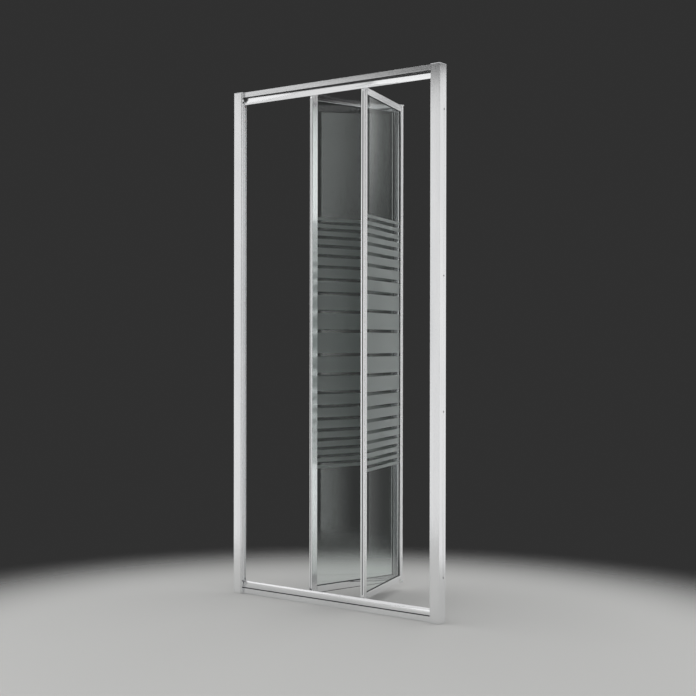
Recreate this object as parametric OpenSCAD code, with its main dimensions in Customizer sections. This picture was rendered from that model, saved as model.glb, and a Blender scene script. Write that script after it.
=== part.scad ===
// Framed bifold shower door: two glazed leaves that fold inwards between a top and a bottom rail.
// X runs from left to right as seen from outside, Y points into the shower, Z points up.
// The origin is on the underside of the bottom rail, at mid-width, under the track line.

/* [Opening] */
// Overall width, from wall to wall
door_w = 900; // [800:5:1100]
// Overall height of the frame
door_h = 1850; // [1540:10:2220]

/* [Pose] */
// Angle between each leaf and the plane of the frame, as it stands
fold_angle = 75; // [60:1:85]
// Place of the right carriage's pivot, from mid-width, as it stands
carriage_x = 124; // [90:1:160]

/* [Jambs] */
// Face width of a jamb, from the wall
jamb_w = 38; // [38:1:50]
// How far the jambs stand ahead of the rails
jamb_step = 10.5; // [9:0.5:18]
// Wall thickness of the wall profile
wall_t = 1.5; // [1.2:0.1:1.8]
// Width of the wall profile's front flange
flange_front = 34; // [28:1:36]
// Width of the wall profile's rear flange
flange_rear = 26; // [20:1:26]
// Wall thickness of the post
post_t = 1.4; // [1.2:0.1:1.8]
// Space between the webs of the wall profile and the post
web_gap = 2.7; // [2.5:0.1:3]
// Width of the post's rear flange, from its web
post_rear = 18; // [14:1:18]
// How far the post's stop lip reaches past the jamb
lip_w = 5; // [4.5:0.5:6]
// Thickness of the caps on the jambs
cap_t = 2; // [1.5:0.5:3]

/* [Rails] */
// Gap between the rails' faces and what turns behind them
swing_gap = 0.1; // [0.1:0.1:2.5]
// Distance from the track line to the rails' rear face
rail_rear = 9.6; // [9.4:0.2:11]
// Face height of the top rail
top_rail_h = 46.4; // [44:0.2:60]
// Face height of the bottom rail
bottom_rail_h = 47.3; // [45:0.1:60]
// Height of the top rail's plain upper band
top_band_h = 18.2; // [16:0.2:22]
// Height of the bottom rail's plain lower band
bottom_band_h = 19.4; // [16:0.2:22]
// Width of the groove between a rail's two bands
groove_size = 3.6; // [2:0.2:5]
// How deep the dark inlay lies in the groove
inlay_depth = 2.2; // [1:0.2:4]
// Wall thickness of both rails
rail_t = 1.4; // [1.2:0.1:1.6]
// How far the curved bands lean back
band_lean = 1.5; // [1:0.1:1.5]
// Depth of the track box in the top rail
track_h = 34.5; // [33:0.5:36]
// Height of the channel in the bottom rail
sill_h = 33; // [32:0.5:34]
// Thickness of the ledges beside the slots
ledge_t = 2.5; // [2:0.1:2.8]
// Gap between a pivot pin and the edges of its slot
slot_gap = 1.3; // [1.2:0.1:1.6]

/* [Leaves] */
// Thickness of a leaf's profiles
leaf_t = 15; // [14:0.5:15]
// Face height of a leaf's rails
leaf_rail_h = 23.4; // [22:0.2:30]
// Wall thickness of a leaf's profiles
leaf_wall = 1.3; // [1.1:0.1:1.5]
// Gap between the track box and the leaves' top edge
top_gap = 4.5; // [4.5:0.5:8]
// Gap between the channel and the leaves' bottom edge
bottom_gap = 4; // [4:0.5:8]
// Gap between a closed leaf's end and the jamb
end_gap = 4; // [4:0.5:6]
// Distance from a leaf's end to its pivot
pivot_inset = 10; // [9:0.5:10]
// Thickness of the glass
glass_t = 5; // [4:0.5:6]
// Depth of the glazing groove
groove_d = 7.5; // [7:0.5:8]
// Thickness of the gasket on each side of the glass
gasket_t = 1.9; // [1.5:0.1:2.2]
// How far the gasket shows beside the profiles
gasket_lip = 1.4; // [1:0.1:3]
// Thickness of the magnetic strip on each leaf's end
end_seal_t = 1.7; // [1:0.1:1.8]
// Width of the magnetic strips
end_seal_w = 10; // [8:0.5:12]

/* [Pivots] */
// Radius of the pivot pins
pivot_r = 3; // [2.5:0.1:3.6]
// Distance from a pivot pin to the inner wall of its stile
pin_room = 2.2; // [1.8:0.1:8]
// Height of a pivot bush in its stile
bush_h = 30; // [20:1:40]
// Thickness of the plates that close the stiles
end_plate_t = 2; // [1.5:0.5:3]
// How far a carriage block reaches past its wheels
block_end = 0.1; // [0.1:0.1:0.6]
// Height of a carriage block
block_h = 12.5; // [11:0.5:14]
// Radius of a track wheel
wheel_r = 6.2; // [5.8:0.1:7.5]
// Gap between the two wheels on a side of a carriage
wheel_gap = 0.8; // [0.8:0.1:1.4]
// Width of a wheel's tread
wheel_w = 2.6; // [2:0.1:2.6]
// Radius of a wheel's axle
axle_r = 1.5; // [1.2:0.1:1.6]

/* [Fold hinge] */
// Radius of the hinge's knuckles
knuckle_r = 4; // [3.6:0.1:4.8]
// Radius of the hinge pin
hinge_pin_r = 2; // [1.6:0.1:2.2]
// Number of knuckles along the fold
knuckles = 5; // [3:2:9]
// Gap between neighbouring knuckles
knuckle_gap = 0.6; // [0.4:0.1:1]
// Gap between the knuckles and the other leaf's hinge plate
plate_gap = 0.4; // [0.4:0.1:1]
// Thickness of the hinge plates
hinge_plate_t = 2; // [1.5:0.1:2.5]
// Thickness of the covers over the fold
cover_t = 3; // [2:0.5:3]

/* [Fixings] */
// Radius of the holes for the wall screws
wall_hole_r = 2.75; // [2:0.05:3]
// Height of the lowest and highest wall screws, from the ends
wall_hole_end = 150; // [100:10:250]
// Distance between the two middle wall screws
wall_hole_mid = 450; // [200:10:600]
// Radius of the screws in the rails' ends
rail_screw_r = 1.9; // [1.5:0.1:2.2]
// Radius of the small screws
small_screw_r = 1.6; // [1.2:0.1:1.8]

/* [Fits] */
// Radial clearance of a running pin
run_fit = 0.05; // [0.03:0.01:0.08]
// Radial clearance of a fixed pin or screw
fixed_fit = 0.02; // [0.01:0.01:0.04]
// Gap between neighbouring pieces that slide past or seat loosely
seat = 0.3; // [0.2:0.05:0.4]

/* [Hidden] */
$fn = 48;
silver = [0.86, 0.87, 0.88];
steel = [0.62, 0.64, 0.67];
nylon = [0.90, 0.90, 0.88];
dark_rubber = [0.16, 0.17, 0.18];
pale_seal = [0.80, 0.82, 0.82];
glass_tint = [0.72, 0.80, 0.78, 0.45];

// Frame
half_w = door_w / 2;
hinge_stand = 0.6;                             // how far the hinge line stands off the leaves' faces
hinge_off = leaf_t / 2 + hinge_stand;          // from a leaf's middle plane to the hinge line
hinge_gap = knuckle_r + plate_gap;             // from the hinge line to each hinge plate
turn_r = max(norm([pivot_inset, leaf_t / 2]), hinge_off + hinge_gap);
rail_front = turn_r + swing_gap + rail_t + band_lean; // front face of the rails, ahead of the track line
jamb_front = rail_front + jamb_step;           // front face of the jambs, ahead of the track line
jamb_x = half_w - jamb_w;                      // inner edge of a jamb's face
post_web_x = half_w - wall_t - web_gap;        // outer face of a post's web
pocket_x = post_web_x - post_t;                // bottom of a post's pocket
pocket_front = rail_front + seat;              // front wall of the pocket, ahead of the track line
pocket_rear = rail_rear + seat;                // rear wall of the pocket, behind the track line
profile_rear = pocket_rear + post_t + seat + wall_t;
post_front = jamb_front - wall_t - seat;       // front face of a post
profile_h = door_h - cap_t;
wall_holes = [wall_hole_end, (door_h - wall_hole_mid) / 2, (door_h + wall_hole_mid) / 2,
    door_h - wall_hole_end];
clamp_z = [250, door_h / 2, door_h - 250];
clamp_x = (pocket_x + half_w - flange_rear) / 2;

// Rails
cavity_half = rail_rear - rail_t;              // half width inside the track box
slot_half = pivot_r + slot_gap;                // half width of the slots
fascia_rib = rail_front - cavity_half - rail_t; // rib from a rail's face to its track box
band_t = 1;                                    // thickness of the curved bands
port_r = 3.4;                                  // outer radius of a screw port
port_y = 4.5;
port_drop = [1.8, 0.7];                        // gap between the ports and each rail's wall, top and bottom
top_port_z = door_h - rail_t - port_r - port_drop[0];
sill_port_z = rail_t + port_r + port_drop[1];
screw_l = 20;

// Leaves, drawn with X from the end pivot to the fold and Y to the outer face
leaf_top = door_h - track_h - top_gap;
leaf_bottom = sill_h + bottom_gap;
stile_top = leaf_top - end_plate_t;
stile_bottom = leaf_bottom + end_plate_t;
leaf_l = jamb_x - end_gap - pivot_inset;       // from the pivot to the hinge line
stile_in = pivot_r + pin_room + leaf_wall + groove_d; // inner edge of the end stile
stile_w = pivot_inset + stile_in;              // face width of a stile
fold_out = leaf_l - hinge_gap - hinge_plate_t; // outer edge of the fold stile
fold_in = fold_out - stile_w;                  // inner edge of the fold stile
groove_half = glass_t / 2 + gasket_t;
window_bottom = leaf_bottom + leaf_rail_h;
window_top = leaf_top - leaf_rail_h;
chamber_half = leaf_t / 2 - leaf_wall;
glass_room = 1;                                // between the glass edge and the groove's bottom
key_l = 22;                                    // length of a corner key in its rail
key_fit = 0.1;                                 // gap round what slides into a profile's chamber
corner_screw_z = (window_top + groove_d + leaf_top) / 2;
corner_screw_x = [stile_in - groove_d / 2, stile_in + key_l / 2,
    fold_in - key_l / 2, fold_in + groove_d / 2];
cover_screw_x = (fold_in + groove_d + fold_out) / 2;
round_r = 1.2;                                 // rounding of the leaves' long edges

// Screw heads
rail_head = [3.4, 2.2];                        // radius and height
clamp_head = [2.8, 1.4];
corner_head = [2.6, 1];
cover_head = [2.9, 1];
cover_screw_l = 14;
fold_cap_h = 20;                               // height of a cap's body in the fold stile
screw_bite = 1;                                // how far a small screw reaches past what it holds
pin_head = [1.5, 3.5];                         // how far a pin's head overhangs, and its height
clip_rim = 1.6;                                // how far a clip overhangs its pin
clip_bite = 0.5;                               // depth of a pin's groove

// Fold
link_l = sqrt(leaf_l * leaf_l + hinge_off * hinge_off);
link_angle = fold_angle - atan(hinge_off / leaf_l);
carriage_a_x = carriage_x - 2 * link_l * cos(link_angle);
knuckle_h = (stile_top - stile_bottom - (knuckles - 1) * knuckle_gap) / knuckles;

// Carriages
ledge_top = door_h - track_h + ledge_t;
wheel_z = ledge_top + seat + wheel_r;
wheel_y = cavity_half - seat;                  // outer face of a wheel
axle_x = wheel_r + wheel_gap / 2;              // from the pivot to each axle
block_half = axle_x + wheel_r + block_end;     // half length of a carriage block
block_gap = 0.4;                               // from a carriage block to its wheels
block_y = wheel_y - wheel_w - block_gap;       // half width of a carriage block
block_z = ledge_top + 1;
pin_past = 4;                                  // how far a carriage's pin reaches below its bush
pin_bottom = stile_top - bush_h - pin_past;
clip_z = stile_top - bush_h - seat;
clip_t = 1;
shoe_bottom = 12;
shoe_floor = 2;                                // solid floor under a shoe's pin
tongue_inset = 4;                              // from a shoe's end to its tongue's end
tongue_rise = 1.5;                             // how far a shoe's tongue stands above the sill

// Seals
jamb_seal_size = [2, 2.4];                     // how far it reaches behind the face, and its depth
strip_stop = 8;                                // from a rail's edge to a magnetic strip's end
sweep_half = 1.5;                              // half thickness of a leaf's bottom sweep
sweep_gap = 0.8;                               // between a sweep and the sill
sweep_end = 2;                                 // from a stile to a sweep's end
fold_seal_stop = 12;                           // from a stile's end to the fold seal's end
fold_seal_t = 2.2;
cover_round = [8, 4.5, 10];                    // a fold cover's round: place from the stile's edges, radius
knuckle_web = 2.4;                             // thickness of the web between plate and knuckle
port_rib = 2.4;                                // thickness of the ribs that carry the screw ports
shoe_top = sill_h - ledge_t - seat;

// ---- helpers ----

module at_leaf_a() {
    translate([carriage_a_x, 0, 0]) rotate([0, 0, fold_angle]) mirror([0, 1, 0]) children();
}

module at_leaf_b() {
    translate([carriage_x, 0, 0]) rotate([0, 0, 180 - fold_angle]) children();
}

// A section drawn in Y and Z, run along X from x0 to x1
module along_x(x0, x1) {
    translate([x0, 0, 0]) rotate([90, 0, 90]) linear_extrude(height = x1 - x0) children();
}

// A box between two corners
module span(a, b) {
    translate(a) cube(b - a);
}

module round_rect(a, b, r) {
    translate([a[0] + r, a[1]]) square([b[0] - a[0] - 2 * r, b[1] - a[1]]);
    translate([a[0], a[1] + r]) square([b[0] - a[0], b[1] - a[1] - 2 * r]);
    for (x = [a[0] + r, b[0] - r], y = [a[1] + r, b[1] - r]) translate([x, y]) circle(r);
}

// A rod along X from x0 to x1
module rod_x(r, x0, x1) {
    translate([x0, 0, 0]) rotate([0, 90, 0]) cylinder(r = r, h = x1 - x0);
}

// A rod along Y from y0 to y1
module rod_y(r, y0, y1) {
    translate([0, y0, 0]) rotate([-90, 0, 0]) cylinder(r = r, h = y1 - y0);
}

// ---- frame, drawn for the right-hand jamb and mirrored for the left ----

module wall_profile() {
    color(silver) difference() {
        union() {
            span([half_w - wall_t, -jamb_front, 0], [half_w, profile_rear, profile_h]);
            span([half_w - flange_front, -jamb_front, 0],
                [half_w, wall_t - jamb_front, profile_h]);
            span([half_w - flange_rear, profile_rear - wall_t, 0],
                [half_w, profile_rear, profile_h]);
        }
        for (z = wall_holes) translate([0, 0, z]) rod_x(wall_hole_r, half_w - 3 * wall_t, half_w + 1);
        for (z = clamp_z) translate([clamp_x, 0, z])
            rod_y(small_screw_r + fixed_fit, 0, profile_rear + 1);
    }
}

module post() {
    color(silver) difference() {
        union() {
            span([pocket_x, -post_front, 0], [post_web_x, pocket_rear + post_t, profile_h]);
            span([jamb_x, -post_front, 0], [post_web_x, post_t - post_front, profile_h]);
            span([jamb_x, -post_front, 0], [jamb_x + post_t, -pocket_front, profile_h]);
            span([jamb_x - lip_w, -pocket_front - post_t, bottom_rail_h + seat],
                [jamb_x + post_t, -pocket_front, door_h - top_rail_h - seat]);
            span([jamb_x, -pocket_front - post_t, 0], [post_web_x, -pocket_front, profile_h]);
            span([pocket_x - post_rear, pocket_rear, 0],
                [post_web_x, pocket_rear + post_t, profile_h]);
        }
        for (y = [-port_y, port_y], z = [sill_port_z, top_port_z]) translate([0, y, z])
            rod_x(rail_screw_r + fixed_fit, pocket_x - 1, post_web_x + 1);
        for (z = clamp_z) translate([clamp_x, 0, z])
            rod_y(small_screw_r + fixed_fit, 0, profile_rear + 1);
    }
}

module post_cap() {
    color(pale_seal) difference() {
        span([jamb_x, -jamb_front, profile_h], [half_w, profile_rear, door_h]);
        span([0, -pocket_front, profile_h - 1], [pocket_x, profile_rear + 1, door_h + 1]);
    }
}

module jamb_seal() {
    color(pale_seal)
        span([jamb_x - lip_w, -pocket_front, bottom_rail_h + seat],
            [jamb_x + jamb_seal_size[0], -pocket_front + jamb_seal_size[1],
                door_h - top_rail_h - seat]);
}

module rail_screw() {
    color(steel) {
        rod_x(rail_screw_r, pocket_x - screw_l, post_web_x);
        rod_x(rail_head[0], post_web_x, post_web_x + rail_head[1]);
    }
}

module rail_screws() {
    for (side = [0, 1], y = [-port_y, port_y], z = [sill_port_z, top_port_z])
        mirror([side, 0, 0]) translate([0, y, z]) rail_screw();
}

module clamp_screws() {
    color(steel) for (side = [0, 1], z = clamp_z)
        mirror([side, 0, 0]) translate([clamp_x, 0, z]) {
            rod_y(small_screw_r, pocket_rear, profile_rear + screw_bite);
            rod_y(clamp_head[0], pocket_rear - clamp_head[1], pocket_rear);
        }
}

// Curved band of a rail: a strip that leans back by band_lean over its height
module curved_band(h) {
    r = (h * h + band_lean * band_lean) / (2 * band_lean);
    translate([r - rail_front, 0]) intersection() {
        difference() {
            circle(r, $fn = 180);
            circle(r - band_t, $fn = 180);
        }
        translate([-r - 1, 0]) square([band_lean + 3, h]);
    }
}

// The two ribs that carry a rail's bands on its track box, above and below the groove from z
module groove_ribs(z) {
    for (rib_z = [z - rail_t, z + groove_size])
        translate([rail_t / 2 - rail_front, rib_z]) square([fascia_rib, rail_t]);
}

// Section of the top rail in Y and Z, with Z from the rail's lowest edge
module top_rail_section() {
    h = top_rail_h;
    box_z = h - track_h;
    groove_z = h - top_band_h - groove_size;
    translate([-rail_front, h - rail_t]) square([rail_front + rail_rear, rail_t]);
    translate([-rail_front, h - top_band_h]) square([rail_t, top_band_h]);
    translate([0, groove_z]) mirror([0, 1]) curved_band(groove_z);
    groove_ribs(groove_z);
    for (side = [-1, 1]) {
        translate([side * (cavity_half + rail_t / 2) - rail_t / 2, box_z])
            square([rail_t, track_h]);
        translate([side > 0 ? slot_half : -rail_rear, box_z])
            square([rail_rear - slot_half, ledge_t]);
        translate([side * port_y, top_port_z - door_h + h]) difference() {
            union() {
                circle(port_r);
                translate([-port_rib / 2, 0]) square([port_rib, port_r + 2.2]);
            }
            circle(rail_screw_r + fixed_fit);
        }
    }
}

// Section of the bottom rail in Y and Z, with Z from its underside
module bottom_rail_section() {
    lip_h = bottom_rail_h - bottom_band_h - groove_size;
    translate([-rail_front, 0]) square([rail_front + rail_rear, rail_t]);
    translate([-rail_front, 0]) square([rail_t, bottom_band_h]);
    translate([0, bottom_band_h + groove_size]) curved_band(lip_h);
    groove_ribs(bottom_band_h);
    for (side = [-1, 1]) {
        translate([side * (cavity_half + rail_t / 2) - rail_t / 2, 0]) square([rail_t, sill_h]);
        translate([side > 0 ? slot_half : -rail_rear, sill_h - ledge_t])
            square([rail_rear - slot_half, ledge_t]);
        translate([side * port_y, sill_port_z]) difference() {
            union() {
                circle(port_r);
                translate([-port_rib / 2, -port_r - 1]) square([port_rib, port_r + 1]);
            }
            circle(rail_screw_r + fixed_fit);
        }
    }
}

module top_rail() {
    color(silver) translate([0, 0, door_h - top_rail_h])
        along_x(-pocket_x, pocket_x) top_rail_section();
}

module bottom_rail() {
    color(silver) along_x(-pocket_x, pocket_x) bottom_rail_section();
}

// Dark strips that lie in the rails' grooves
module rail_inlays() {
    color(dark_rubber) for (z = [bottom_band_h, door_h - top_band_h - groove_size])
        span([-pocket_x, inlay_depth - rail_front, z], [pocket_x, -rail_rear, z + groove_size]);
}

// ---- carriages: a top block on two wheel pairs, a bottom shoe, and their pivot pins ----

module block() {
    color(nylon) difference() {
        span([-block_half, -block_y, block_z], [block_half, block_y, block_z + block_h]);
        translate([0, 0, block_z - 1]) cylinder(r = pivot_r + fixed_fit, h = block_h + 2);
        for (x = [-axle_x, axle_x]) translate([x, 0, wheel_z])
            rod_y(axle_r + run_fit, -block_y - 1, block_y + 1);
    }
}

module carriage_pin() {
    color(steel) difference() {
        union() {
            translate([0, 0, pin_bottom])
                cylinder(r = pivot_r, h = block_z + block_h - pin_bottom);
            translate([0, 0, block_z + block_h])
                cylinder(r = pivot_r + pin_head[0], h = pin_head[1]);
        }
        translate([0, 0, clip_z - clip_t - 0.1]) difference() {
            cylinder(r = pivot_r + 1, h = clip_t + 0.2);
            cylinder(r = pivot_r - clip_bite, h = clip_t + 0.2);
        }
    }
}

module clip() {
    color(steel) translate([0, 0, clip_z - clip_t]) difference() {
        cylinder(r = pivot_r + clip_rim, h = clip_t);
        translate([0, 0, -1]) cylinder(r = pivot_r - clip_bite + fixed_fit, h = clip_t + 2);
        translate([0, -clip_rim, -1]) cube([pivot_r + 3, 2 * clip_rim, clip_t + 2]);
    }
}

module shoe() {
    color(nylon) difference() {
        union() {
            span([-block_half, -wheel_y, shoe_bottom], [block_half, wheel_y, shoe_top]);
            span([tongue_inset - block_half, seat - slot_half, shoe_top - 1],
                [block_half - tongue_inset, slot_half - seat, sill_h + tongue_rise]);
        }
        translate([0, 0, shoe_bottom + shoe_floor])
            cylinder(r = pivot_r + fixed_fit, h = sill_h);
    }
}

module shoe_pin() {
    color(steel) translate([0, 0, shoe_bottom + shoe_floor])
        cylinder(r = pivot_r, h = stile_bottom + bush_h - shoe_bottom - 2 * shoe_floor);
}

module wheel_pair(x) {
    color(nylon) for (side = [0, 1]) mirror([0, side, 0]) translate([x, 0, wheel_z])
        difference() {
            rod_y(wheel_r, wheel_y - wheel_w, wheel_y);
            rod_y(axle_r + fixed_fit, 0, cavity_half + 1);
        }
}

module axle(x) {
    color(steel) translate([x, 0, wheel_z]) rod_y(axle_r, -wheel_y, wheel_y);
}

// ---- leaves ----

// Section of a stile from its outer edge at 0 to its glazed edge at stile_w
module stile_section() {
    difference() {
        round_rect([0, -leaf_t / 2], [stile_w, leaf_t / 2], round_r);
        translate([leaf_wall, -chamber_half])
            square([stile_w - groove_d - 2 * leaf_wall, 2 * chamber_half]);
        translate([stile_w - groove_d, -groove_half]) square([groove_d + 1, 2 * groove_half]);
    }
}

module end_stile() {
    color(silver) difference() {
        translate([-pivot_inset, 0, stile_bottom])
            linear_extrude(height = stile_top - stile_bottom) stile_section();
        corner_screw_holes();
    }
}

module fold_stile() {
    color(silver) difference() {
        translate([fold_out, 0, stile_bottom]) mirror([1, 0, 0])
            linear_extrude(height = stile_top - stile_bottom) stile_section();
        corner_screw_holes();
    }
}

// Section of a leaf's rail in Y and Z, glazed edge at leaf_rail_h
module leaf_rail_section() {
    difference() {
        round_rect([-leaf_t / 2, 0], [leaf_t / 2, leaf_rail_h], round_r);
        translate([-chamber_half, leaf_wall])
            square([2 * chamber_half, leaf_rail_h - groove_d - 2 * leaf_wall]);
        translate([-groove_half, leaf_rail_h - groove_d])
            square([2 * groove_half, groove_d + 1]);
    }
}

module leaf_bottom_rail() {
    color(silver) difference() {
        translate([0, 0, leaf_bottom]) along_x(stile_in, fold_in) leaf_rail_section();
        corner_screw_holes();
    }
}

module leaf_top_rail() {
    color(silver) difference() {
        translate([0, 0, leaf_top]) mirror([0, 0, 1])
            along_x(stile_in, fold_in) leaf_rail_section();
        corner_screw_holes();
    }
}

module glass_box(half_t) {
    span([stile_in - groove_d + glass_room, -half_t, window_bottom - groove_d + glass_room],
        [fold_in + groove_d - glass_room, half_t, window_top + groove_d - glass_room]);
}

module glass() {
    color(glass_tint) glass_box(glass_t / 2);
}

module gasket() {
    color(dark_rubber) difference() {
        span([stile_in - groove_d, -groove_half, window_bottom - groove_d],
            [fold_in + groove_d, groove_half, window_top + groove_d]);
        span([stile_in + gasket_lip, -groove_half - 1, window_bottom + gasket_lip],
            [fold_in - gasket_lip, groove_half + 1, window_top - gasket_lip]);
        glass_box(glass_t / 2);
    }
}

module end_seal() {
    color(dark_rubber)
        span([-pivot_inset - end_seal_t, -end_seal_w / 2, bottom_rail_h + strip_stop],
            [-pivot_inset, end_seal_w / 2, door_h - top_rail_h - strip_stop]);
}

module sweep() {
    color(dark_rubber)
        span([stile_in + sweep_end, -sweep_half, sill_h + sweep_gap],
            [fold_in - sweep_end, sweep_half, leaf_bottom]);
}

// Bush in the end stile: a plate over the stile's end and a body round the pivot pin
module bush() {
    color(nylon) difference() {
        union() {
            translate([0, 0, stile_top]) linear_extrude(height = end_plate_t)
                round_rect([-pivot_inset, -leaf_t / 2], [stile_in, leaf_t / 2], round_r);
            span([leaf_wall + key_fit - pivot_inset, key_fit - chamber_half, stile_top - bush_h],
                [stile_in - groove_d - leaf_wall - key_fit, chamber_half - key_fit, stile_top + 1]);
        }
        translate([0, 0, stile_top - bush_h - 1])
            cylinder(r = pivot_r + run_fit, h = bush_h + end_plate_t + 2);
    }
}

// Cap in the fold stile, with a hole for the cover's screw
module fold_cap() {
    color(nylon) difference() {
        union() {
            translate([0, 0, stile_top]) linear_extrude(height = end_plate_t)
                round_rect([fold_in, -leaf_t / 2], [fold_out + hinge_plate_t, leaf_t / 2], round_r);
            span([fold_in + groove_d + leaf_wall + key_fit, key_fit - chamber_half,
                    stile_top - fold_cap_h],
                [fold_out - leaf_wall - key_fit, chamber_half - key_fit, stile_top + 1]);
        }
        translate([cover_screw_x, 0, leaf_top - cover_screw_l - screw_bite])
            cylinder(r = small_screw_r + fixed_fit, h = cover_screw_l + 2 * screw_bite);
    }
}

// Repeats a piece drawn for the leaf's top at the leaf's bottom
module both_ends() {
    children();
    translate([0, 0, leaf_top + leaf_bottom]) mirror([0, 0, 1]) children();
}

// Corner key: a block that joins a leaf's rail to the empty end of its stile's groove
module corner_key(x, way) {
    translate([x, 0, 0]) mirror([way, 0, 0]) {
        span([0, key_fit - chamber_half, window_top + groove_d + leaf_wall + key_fit],
            [key_l, chamber_half - key_fit, leaf_top - leaf_wall - key_fit]);
        span([key_fit - groove_d, key_fit - groove_half,
                window_top + groove_d + leaf_wall + key_fit],
            [0.5, groove_half - key_fit, stile_top - key_fit]);
    }
}

module corner_keys() {
    color(steel) difference() {
        both_ends() {
            corner_key(stile_in, 0);
            corner_key(fold_in, 1);
        }
        corner_screw_holes();
    }
}

module corner_screw_holes() {
    both_ends() for (x = corner_screw_x) translate([x, 0, corner_screw_z])
        rod_y(small_screw_r + fixed_fit, -leaf_t, screw_bite);
}

module corner_screws() {
    color(steel) both_ends() for (x = corner_screw_x) translate([x, 0, corner_screw_z]) {
        rod_y(small_screw_r, -leaf_t / 2, screw_bite - fixed_fit);
        rod_y(corner_head[0], -leaf_t / 2 - corner_head[1], -leaf_t / 2);
    }
}

// ---- fold hinge ----

// One half of the hinge: a plate on the stile's edge, and every second knuckle from the first
module fold_hinge(first) {
    color(silver) difference() {
        union() {
            span([fold_out, -leaf_t / 2, stile_bottom],
                [leaf_l - hinge_gap, leaf_t / 2, stile_top]);
            for (i = [first : 2 : knuckles - 1])
                translate([0, 0, stile_bottom + i * (knuckle_h + knuckle_gap)]) {
                    translate([leaf_l, hinge_off, 0]) cylinder(r = knuckle_r, h = knuckle_h);
                    span([leaf_l - hinge_gap - 1, leaf_t / 2 - knuckle_web, 0],
                        [leaf_l, leaf_t / 2, knuckle_h]);
                }
        }
        translate([leaf_l, hinge_off, 0]) cylinder(r = hinge_pin_r + run_fit, h = door_h);
    }
}

module fold_pin() {
    color(steel) translate([leaf_l, hinge_off, leaf_bottom - cover_t + 1])
        cylinder(r = hinge_pin_r, h = leaf_top - leaf_bottom + 2 * cover_t - 2);
}

// Cover over the fold at the top of a leaf, with an eye for the hinge pin
module fold_cover() {
    color(pale_seal) difference() {
        translate([0, 0, leaf_top]) linear_extrude(height = cover_t) {
            translate([fold_in + 2, -leaf_t / 2])
                square([fold_out + hinge_plate_t - fold_in - 2, leaf_t]);
            translate([fold_out - cover_round[0], cover_round[1] - leaf_t / 2])
                circle(cover_round[2]);
            translate([leaf_l, hinge_off]) circle(hinge_gap);
            translate([leaf_l - hinge_gap - 2, leaf_t / 2 - 4]) square([hinge_gap + 2, 4]);
        }
        translate([leaf_l, hinge_off, leaf_top - 1])
            cylinder(r = hinge_pin_r + fixed_fit, h = cover_t);
        translate([cover_screw_x, 0, leaf_top - 1])
            cylinder(r = small_screw_r + fixed_fit, h = cover_t + 2);
        translate([cover_screw_x, 0, leaf_top + cover_t - cover_head[1]])
            cylinder(r = cover_head[0] + 0.1, h = 2);
    }
}

module cover_screw() {
    color(steel) translate([cover_screw_x, 0, leaf_top]) {
        translate([0, 0, -cover_screw_l])
            cylinder(r = small_screw_r, h = cover_screw_l + cover_t - cover_head[1]);
        translate([0, 0, cover_t - cover_head[1]]) cylinder(r = cover_head[0], h = cover_head[1]);
    }
}

// Flexible strip that closes the gap behind the fold
module fold_seal() {
    color(pale_seal)
        span([leaf_l - hinge_gap, -leaf_t / 2, stile_bottom + fold_seal_stop],
            [leaf_l + hinge_gap - seat, fold_seal_t - leaf_t / 2, stile_top - fold_seal_stop]);
}

mirror([1, 0, 0]) wall_profile();  // wall_profile_left
wall_profile();  // wall_profile_right
mirror([1, 0, 0]) post();  // post_left
post();  // post_right
for (side = [0, 1]) mirror([side, 0, 0]) post_cap();  // post_caps
top_rail();
bottom_rail();
rail_inlays();
rail_screws();
clamp_screws();
mirror([1, 0, 0]) jamb_seal();  // jamb_seal_left
jamb_seal();  // jamb_seal_right

translate([carriage_x, 0, 0]) block();  // carriage_b_block
translate([carriage_x, 0, 0]) carriage_pin();  // carriage_b_pin
translate([carriage_x, 0, 0]) clip();  // carriage_b_clip
translate([carriage_x, 0, 0]) shoe();  // shoe_b
translate([carriage_x, 0, 0]) shoe_pin();  // shoe_b_pin
wheel_pair(carriage_x - axle_x);  // wheels_b_inner
axle(carriage_x - axle_x);  // axle_b_inner
wheel_pair(carriage_x + axle_x);  // wheels_b_outer
axle(carriage_x + axle_x);  // axle_b_outer

translate([carriage_a_x, 0, 0]) block();  // carriage_a_block
translate([carriage_a_x, 0, 0]) carriage_pin();  // carriage_a_pin
translate([carriage_a_x, 0, 0]) clip();  // carriage_a_clip
translate([carriage_a_x, 0, 0]) shoe();  // shoe_a
translate([carriage_a_x, 0, 0]) shoe_pin();  // shoe_a_pin
wheel_pair(carriage_a_x + axle_x);  // wheels_a_inner
axle(carriage_a_x + axle_x);  // axle_a_inner
wheel_pair(carriage_a_x - axle_x);  // wheels_a_outer
axle(carriage_a_x - axle_x);  // axle_a_outer

at_leaf_b() end_stile();  // leaf_b_end_stile
at_leaf_b() fold_stile();  // leaf_b_fold_stile
at_leaf_b() leaf_top_rail();  // leaf_b_top_rail
at_leaf_b() leaf_bottom_rail();  // leaf_b_bottom_rail
at_leaf_b() glass();  // leaf_b_glass
at_leaf_b() gasket();  // leaf_b_gasket
at_leaf_b() end_seal();  // leaf_b_end_seal
at_leaf_b() sweep();  // leaf_b_sweep
at_leaf_b() both_ends() bush();  // leaf_b_bushes
at_leaf_b() both_ends() fold_cap();  // leaf_b_fold_caps
at_leaf_b() corner_keys();  // leaf_b_corner_keys
at_leaf_b() corner_screws();  // leaf_b_corner_screws
at_leaf_b() fold_hinge(0);  // fold_hinge_b
at_leaf_b() fold_pin();
at_leaf_b() both_ends() fold_cover();  // fold_covers
at_leaf_b() both_ends() cover_screw();  // fold_cover_screws

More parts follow.
